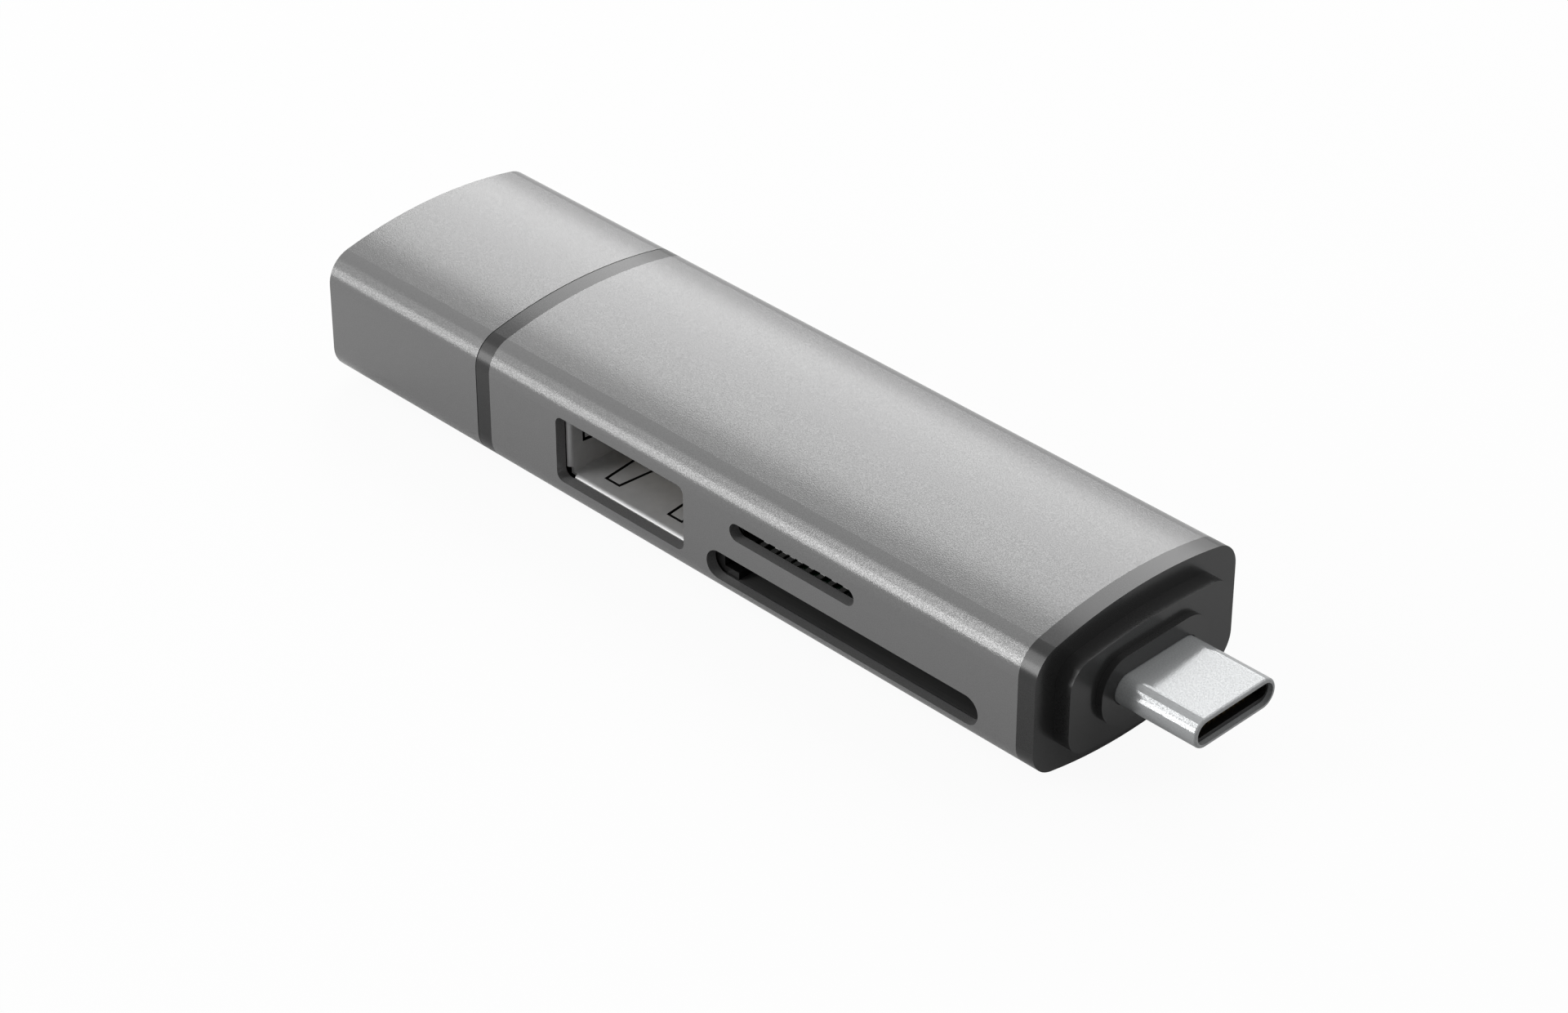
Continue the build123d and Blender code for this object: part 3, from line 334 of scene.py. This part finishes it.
def chip_capacitor_ceramic():
    """Fired tan ceramic with a tinned band round each end, found from the capacitors' place along Y."""
    material, tree, place = blank("chip_capacitor_ceramic")
    low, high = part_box("capacitors")
    middle = (low[1] + high[1]) / 2
    band_start = (high[1] - low[1]) / 2 - TINNED_BAND
    along = add(tree, "ShaderNodeSeparateXYZ", {"Vector": place}).outputs["Y"]
    from_middle = add(tree, "ShaderNodeMath", {0: along, 1: middle}, operation="SUBTRACT")
    distance = add(tree, "ShaderNodeMath", {0: from_middle.outputs[0]}, operation="ABSOLUTE")
    tinned = add(tree, "ShaderNodeMath", {0: distance.outputs[0], 1: band_start}, operation="GREATER_THAN")
    grain = add(tree, "ShaderNodeTexNoise", {"Vector": place, "Scale": per_metre(0.1), "Detail": 2.0})
    fired = add(tree, "ShaderNodeMix", {
        MIX_FACTOR: grain.outputs["Fac"], MIX_FIRST: linear("#866242"), MIX_SECOND: linear("#9c7853")},
        data_type="RGBA")
    tone = add(tree, "ShaderNodeMix", {
        MIX_FACTOR: tinned.outputs[0], MIX_FIRST: fired.outputs[MIX_RESULT], MIX_SECOND: linear("#c4c4c2")},
        data_type="RGBA")
    metal = add(tree, "ShaderNodeMath", {0: tinned.outputs[0], 1: TINNED_SHINE}, operation="MULTIPLY")
    roughness = add(tree, "ShaderNodeMapRange", {
        "Value": grain.outputs["Fac"], "To Min": 0.35, "To Max": 0.5})
    surface = add(tree, "ShaderNodeBsdfPrincipled", {
        "Base Color": tone.outputs[MIX_RESULT], "Metallic": metal.outputs[0],
        "Roughness": roughness.outputs["Result"]})
    add(tree, "ShaderNodeOutputMaterial", {"Surface": surface.outputs["BSDF"]})
    return material


def seen_rays(tree):
    """1 for rays that show the white studio, straight or by reflection, and 0 for rays that light
    things."""
    path = add(tree, "ShaderNodeLightPath").outputs
    shiny = add(tree, "ShaderNodeMath", {
        0: path["Is Glossy Ray"], 1: path["Is Transmission Ray"]}, operation="MAXIMUM")
    seen = add(tree, "ShaderNodeMath", {
        0: path["Is Camera Ray"], 1: shiny.outputs[0]}, operation="MAXIMUM")
    return seen.outputs[0]


def studio_floor():
    """White floor: the lamps light it, so it keeps the shadow, and a glow lifts it to white where it is
    seen. From below it is clear."""
    material, tree, _ = blank("white_studio_floor")
    path = add(tree, "ShaderNodeLightPath").outputs
    shade = add(tree, "ShaderNodeMix", {
        MIX_FACTOR: seen_rays(tree), MIX_FIRST: linear(FLOOR_BOUNCE_SHADE),
        MIX_SECOND: linear(FLOOR_SHADE)}, data_type="RGBA")
    lit = add(tree, "ShaderNodeBsdfDiffuse", {"Color": shade.outputs[MIX_RESULT]})
    glow = add(tree, "ShaderNodeEmission", {"Color": (1, 1, 1, 1), "Strength": 1.0})
    straight = add(tree, "ShaderNodeMath", {
        0: path["Is Camera Ray"], 1: path["Is Transmission Ray"]}, operation="MAXIMUM")
    reflected = add(tree, "ShaderNodeMath", {
        0: path["Is Glossy Ray"], 1: FLOOR_REFLECTED_GLOW}, operation="MULTIPLY")
    share = add(tree, "ShaderNodeMath", {
        0: straight.outputs[0], 1: FLOOR_GLOW, 2: reflected.outputs[0]}, operation="MULTIPLY_ADD")
    front = add(tree, "ShaderNodeMixShader", {0: share.outputs[0], 1: lit.outputs[0], 2: glow.outputs[0]})
    below = add(tree, "ShaderNodeBsdfTransparent")
    side = add(tree, "ShaderNodeNewGeometry").outputs["Backfacing"]
    both = add(tree, "ShaderNodeMixShader", {0: side, 1: front.outputs[0], 2: below.outputs[0]})
    add(tree, "ShaderNodeOutputMaterial", {"Surface": both.outputs[0]})
    return material


def make_floor():
    """A square floor at the height that the reader lies on."""
    half = FLOOR_SIZE / 2
    corners = [(-half, -half, 0), (half, -half, 0), (half, half, 0), (-half, half, 0)]
    mesh = bpy.data.meshes.new("floor")
    mesh.from_pydata(corners, [], [(0, 1, 2, 3)])
    floor = bpy.data.objects.new("floor", mesh)
    floor.data.materials.append(studio_floor())
    bpy.context.scene.collection.objects.link(floor)


def make_world():
    """White all round where it is seen, and a dimmer even fill light elsewhere."""
    world = bpy.data.worlds.new("white_studio")
    bpy.context.scene.world = world
    world.use_nodes = True
    tree = world.node_tree
    tree.nodes.clear()
    strength = add(tree, "ShaderNodeMapRange", {
        "Value": seen_rays(tree), "To Min": AMBIENT, "To Max": 1.0})
    background = add(tree, "ShaderNodeBackground", {
        "Color": (1, 1, 1, 1), "Strength": strength.outputs["Result"]})
    add(tree, "ShaderNodeOutputWorld", {"Surface": background.outputs[0]})


def make_soft_box(name, angle, spread, shift, length, brightness):
    """A rectangular lamp along X that faces the X axis; its watts are pi times its area for a brightness
    of 1."""
    height = 2 * BOX_DISTANCE * math.tan(math.radians(spread / 2))
    lamp = bpy.data.lights.new(name, "AREA")
    lamp.shape = "RECTANGLE"
    lamp.size = length
    lamp.size_y = height
    lamp.energy = math.pi * length * height * brightness
    box = bpy.data.objects.new(name, lamp)
    turn = math.radians(angle)
    box.location = (shift, BOX_DISTANCE * math.cos(turn), BOX_DISTANCE * math.sin(turn))
    box.rotation_euler = (turn - math.pi / 2, 0, 0)
    bpy.context.scene.collection.objects.link(box)


def make_camera():
    """Camera on a bearing from its target: azimuth 0 is on the -Y side and 90 on the +X side."""
    camera = bpy.data.objects.new("camera", bpy.data.cameras.new("camera"))
    camera.data.lens = CAMERA_LENS
    camera.data.clip_start = 0.01
    camera.data.clip_end = 10.0
    azimuth = math.radians(CAMERA_AZIMUTH)
    elevation = math.radians(CAMERA_ELEVATION)
    back = Vector((
        math.sin(azimuth) * math.cos(elevation),
        -math.cos(azimuth) * math.cos(elevation),
        math.sin(elevation)))
    camera.location = CAMERA_TARGET + back * CAMERA_DISTANCE
    camera.rotation_mode = "QUATERNION"
    camera.rotation_quaternion = (-back).to_track_quat("-Z", "Y")
    bpy.context.scene.collection.objects.link(camera)
    bpy.context.scene.camera = camera


bpy.context.scene.view_settings.view_transform = "Standard"
make_camera()
make_world()
make_floor()
for box_name, box_shape in SOFT_BOXES.items():
    make_soft_box(box_name, **box_shape)

# The finish of each material slot in the record, and of the one piece that has its own
slot_finishes = {
    "sleeve_aluminium": bead_blasted_aluminium(),
    "end_plug_plastic": satin_abs(),
    "plug_steel": nickel_plate(),
    "cover_steel": rolled_stainless(),
    "contact_gold": stamped_contact("gold_plate", "#b89a5c", "#d4bc84", 0.9, 0.18),
    # The tin contacts are drawn dark grey: painted shade for contacts that sit inside the card slots
    "contact_tin": stamped_contact("shade_darkened_tin_plate", "#4c4c4b", "#5e5e5d", 0.25, 0.35),
    "socket_plastic": glass_filled_nylon(),
    "board_resin": solder_mask(),
    "chip_resin": moulded_epoxy(),
    "capacitor_tan": chip_capacitor_ceramic(),
}
own_finishes = {"usb_a_port_shell": matte_tin_plate()}
for part in frame["record"]["subparts"]:
    finish = own_finishes.get(part["node"], slot_finishes[part["material_slot"]])
    for slot in frame["nodes"][part["node"]].material_slots:
        slot.material = finish
